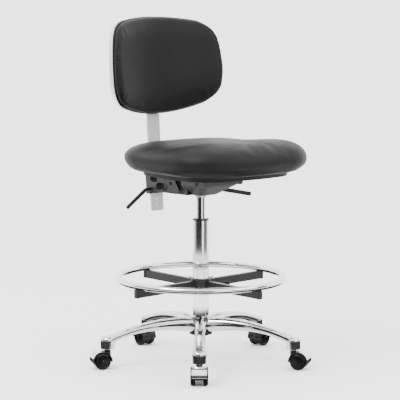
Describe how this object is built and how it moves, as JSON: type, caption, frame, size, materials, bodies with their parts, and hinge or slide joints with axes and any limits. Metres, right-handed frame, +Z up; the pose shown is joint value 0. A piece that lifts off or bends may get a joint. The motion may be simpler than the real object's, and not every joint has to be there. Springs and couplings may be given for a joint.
{
  "type": "drafting chair",
  "caption": "Armless drafting chair: padded seat and backrest on a gas lift with a sliding foot ring and a polished star base on hooded casters.",
  "frame": {"origin": "on the floor, on the axis of the gas lift", "axes": "+Z up along the gas lift; the sitter faces -Y, so +X is the sitter's left"},
  "size_m": [0.6755, 0.6622, 1.0649],
  "materials": {
    "polished_aluminium": "polished cast aluminium",
    "chrome": "bright chrome plating",
    "dark_steel_paint": "dark grey satin powder coat on stamped steel",
    "black_paint": "black satin powder coat",
    "grey_steel_bar": "light grey satin finish on flat steel",
    "bright_steel": "bright zinc-plated steel",
    "black_plastic": "moulded black nylon",
    "caster_tread": "smooth black hard tread",
    "black_vinyl": "black vinyl with a fine grain",
    "black_piping": "black extruded edge trim",
    "plywood": "unfinished plywood"
  },
  "bodies": {
    "base": {"base_casting": "polished_aluminium", "caster_stems": "bright_steel", "column_outer_tube": "chrome", "column_guide_bush": "black_plastic", "column_thrust_bearing": "bright_steel"},
    "foot_ring": {"foot_ring": "chrome", "ring_spider": "black_paint", "spider_end_caps": "black_plastic", "ring_clamp_nuts": "bright_steel"},
    "ring_knob": {"ring_clamp_knob": "black_plastic"},
    "gas_rod": {"column_piston_rod": "bright_steel", "column_retaining_clip": "bright_steel"},
    "lift": {"column_inner_tube": "chrome", "column_rod_guide": "black_plastic", "mechanism_housing": "dark_steel_paint", "mechanism_taper_bush": "bright_steel", "pivot_pins": "black_paint", "back_return_springs": "bright_steel"},
    "valve_pin": {"column_valve_pin": "bright_steel"},
    "seat": {"seat_plate": "dark_steel_paint", "seat_board": "plywood", "seat_cushion": "black_vinyl", "seat_screws": "bright_steel"},
    "back_arm": {"back_bracket": "dark_steel_paint", "back_bar_guide": "dark_steel_paint"},
    "backrest": {"back_bar": "grey_steel_bar", "backrest_pan": "chrome", "backrest_piping": "black_piping", "backrest_cushion": "black_vinyl", "backrest_screws": "bright_steel"},
    "height_lever": {"height_lever_rod": "black_paint", "height_lever_paddle": "black_plastic"},
    "tilt_lever": {"tilt_lever_shaft": "black_paint", "tilt_lever_paddle": "black_plastic"},
    "back_lever": {"back_lever_rod": "black_paint"},
    "caster_1": {"caster_1_body": "black_plastic", "caster_1_hood": "chrome", "caster_1_axle": "bright_steel"},
    "caster_1_wheel_a": {"caster_1_wheel_a": "caster_tread"},
    "caster_1_wheel_b": {"caster_1_wheel_b": "caster_tread"},
    "caster_2": {"caster_2_body": "black_plastic", "caster_2_hood": "chrome", "caster_2_axle": "bright_steel"},
    "caster_2_wheel_a": {"caster_2_wheel_a": "caster_tread"},
    "caster_2_wheel_b": {"caster_2_wheel_b": "caster_tread"},
    "caster_3": {"caster_3_body": "black_plastic", "caster_3_hood": "chrome", "caster_3_axle": "bright_steel"},
    "caster_3_wheel_a": {"caster_3_wheel_a": "caster_tread"},
    "caster_3_wheel_b": {"caster_3_wheel_b": "caster_tread"},
    "caster_4": {"caster_4_body": "black_plastic", "caster_4_hood": "chrome", "caster_4_axle": "bright_steel"},
    "caster_4_wheel_a": {"caster_4_wheel_a": "caster_tread"},
    "caster_4_wheel_b": {"caster_4_wheel_b": "caster_tread"},
    "caster_5": {"caster_5_body": "black_plastic", "caster_5_hood": "chrome", "caster_5_axle": "bright_steel"},
    "caster_5_wheel_a": {"caster_5_wheel_a": "caster_tread"},
    "caster_5_wheel_b": {"caster_5_wheel_b": "caster_tread"}
  },
  "joints": [
    {"name": "foot_ring_height", "type": "slide", "parent": "base", "child": "foot_ring", "axis": [0, 0, 1], "range_m": [-0.06, 0.06]},
    {"name": "ring_knob_turn", "type": "hinge", "parent": "foot_ring", "child": "ring_knob", "pos_m": [0.05851, -0.05456, 0.2455], "axis": [0.7314, -0.682, 0], "continuous": true},
    {"name": "seat_swivel", "type": "hinge", "parent": "base", "child": "gas_rod", "pos_m": [0, 0, 0.1], "axis": [0, 0, 1], "continuous": true},
    {"name": "seat_height", "type": "slide", "parent": "gas_rod", "child": "lift", "axis": [0, 0, 1], "range_m": [-0.06, 0.14]},
    {"name": "height_lever_lift", "type": "hinge", "parent": "lift", "child": "height_lever", "pos_m": [0.042, 0, 0.547], "axis": [0, -1, 0], "range_deg": [0, 4], "stiffness_Nm_per_rad": 8, "springref_deg": -5.73},
    {"name": "valve_pin_press", "type": "slide", "parent": "lift", "child": "valve_pin", "axis": [0, 0, 1], "range_m": [-0.003, 0]},
    {"name": "seat_tilt", "type": "hinge", "parent": "lift", "child": "seat", "pos_m": [0, -0.072, 0.566], "axis": [1, 0, 0], "range_deg": [0, 8]},
    {"name": "back_tilt", "type": "hinge", "parent": "lift", "child": "back_arm", "pos_m": [0, 0.068, 0.556], "axis": [-1, 0, 0], "range_deg": [-2, 14]},
    {"name": "back_height", "type": "slide", "parent": "back_arm", "child": "backrest", "axis": [0, 0.0698, 0.9976], "range_m": [-0.03, 0.05]},
    {"name": "tilt_lever_turn", "type": "hinge", "parent": "lift", "child": "tilt_lever", "pos_m": [0, 0.092, 0.54], "axis": [1, 0, 0], "range_deg": [-20, 20]},
    {"name": "back_lever_turn", "type": "hinge", "parent": "back_arm", "child": "back_lever", "pos_m": [0, 0.158, 0.531], "axis": [1, 0, 0], "range_deg": [-25, 25]},
    {"name": "caster_1_swivel", "type": "hinge", "parent": "base", "child": "caster_1", "pos_m": [-0.19668, -0.22388, 0.05], "axis": [0, 0, 1], "continuous": true},
    {"name": "caster_1_roll_a", "type": "hinge", "parent": "caster_1", "child": "caster_1_wheel_a", "pos_m": [-0.20988, -0.2389, 0.0254], "axis": [0.7513, -0.66, 0], "continuous": true},
    {"name": "caster_1_roll_b", "type": "hinge", "parent": "caster_1", "child": "caster_1_wheel_b", "pos_m": [-0.20988, -0.2389, 0.0254], "axis": [0.7513, -0.66, 0], "continuous": true},
    {"name": "caster_2_swivel", "type": "hinge", "parent": "base", "child": "caster_2", "pos_m": [0.15214, -0.25624, 0.05], "axis": [0, 0, 1], "continuous": true},
    {"name": "caster_2_roll_a", "type": "hinge", "parent": "caster_2", "child": "caster_2_wheel_a", "pos_m": [0.16235, -0.27343, 0.0254], "axis": [0.8599, 0.5105, 0], "continuous": true},
    {"name": "caster_2_roll_b", "type": "hinge", "parent": "caster_2", "child": "caster_2_wheel_b", "pos_m": [0.16235, -0.27343, 0.0254], "axis": [0.8599, 0.5105, 0], "continuous": true},
    {"name": "caster_3_swivel", "type": "hinge", "parent": "base", "child": "caster_3", "pos_m": [0.29071, 0.06551, 0.05], "axis": [0, 0, 1], "continuous": true},
    {"name": "caster_3_roll_a", "type": "hinge", "parent": "caster_3", "child": "caster_3_wheel_a", "pos_m": [0.31022, 0.06991, 0.0254], "axis": [-0.2198, 0.9755, 0], "continuous": true},
    {"name": "caster_3_roll_b", "type": "hinge", "parent": "caster_3", "child": "caster_3_wheel_b", "pos_m": [0.31022, 0.06991, 0.0254], "axis": [-0.2198, 0.9755, 0], "continuous": true},
    {"name": "caster_4_swivel", "type": "hinge", "parent": "base", "child": "caster_4", "pos_m": [0.02753, 0.29673, 0.05], "axis": [0, 0, 1], "continuous": true},
    {"name": "caster_4_roll_a", "type": "hinge", "parent": "caster_4", "child": "caster_4_wheel_a", "pos_m": [0.02937, 0.31664, 0.0254], "axis": [-0.9957, 0.0924, 0], "continuous": true},
    {"name": "caster_4_roll_b", "type": "hinge", "parent": "caster_4", "child": "caster_4_wheel_b", "pos_m": [0.02937, 0.31664, 0.0254], "axis": [-0.9957, 0.0924, 0], "continuous": true},
    {"name": "caster_5_swivel", "type": "hinge", "parent": "base", "child": "caster_5", "pos_m": [-0.2737, 0.11787, 0.05], "axis": [0, 0, 1], "continuous": true},
    {"name": "caster_5_roll_a", "type": "hinge", "parent": "caster_5", "child": "caster_5_wheel_a", "pos_m": [-0.29207, 0.12578, 0.0254], "axis": [-0.3955, -0.9184, 0], "continuous": true},
    {"name": "caster_5_roll_b", "type": "hinge", "parent": "caster_5", "child": "caster_5_wheel_b", "pos_m": [-0.29207, 0.12578, 0.0254], "axis": [-0.3955, -0.9184, 0], "continuous": true}
  ],
  "couplings": [
    {"joint": "valve_pin_press", "follows": "height_lever_lift", "m_per_rad": -0.04}
  ]
}
